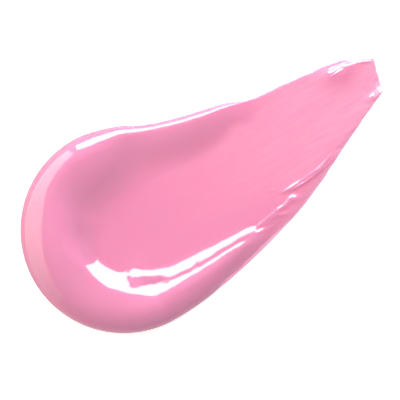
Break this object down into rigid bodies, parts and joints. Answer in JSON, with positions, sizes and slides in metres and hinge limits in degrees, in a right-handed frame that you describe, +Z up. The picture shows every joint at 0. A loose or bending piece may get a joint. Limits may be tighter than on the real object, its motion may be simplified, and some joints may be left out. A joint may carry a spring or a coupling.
{
  "type": "lip gloss smear",
  "caption": "Smear of glossy pink lip gloss, laid flat: a thick round head with a raised rim narrows to a thin film with a torn end.",
  "frame": {"origin": "on the surface that the gloss lies on, under the middle of the smear's bounding box", "axes": "+X along the stroke, from the round head to the torn end; +Z up out of the surface; +Y across the stroke, towards the side with the low rim"},
  "size_m": [0.0418, 0.0212, 0.0022],
  "materials": {
    "gloss": "wet gloss"
  },
  "bodies": {
    "root": {"gloss_smear": "gloss"}
  },
  "joints": []
}
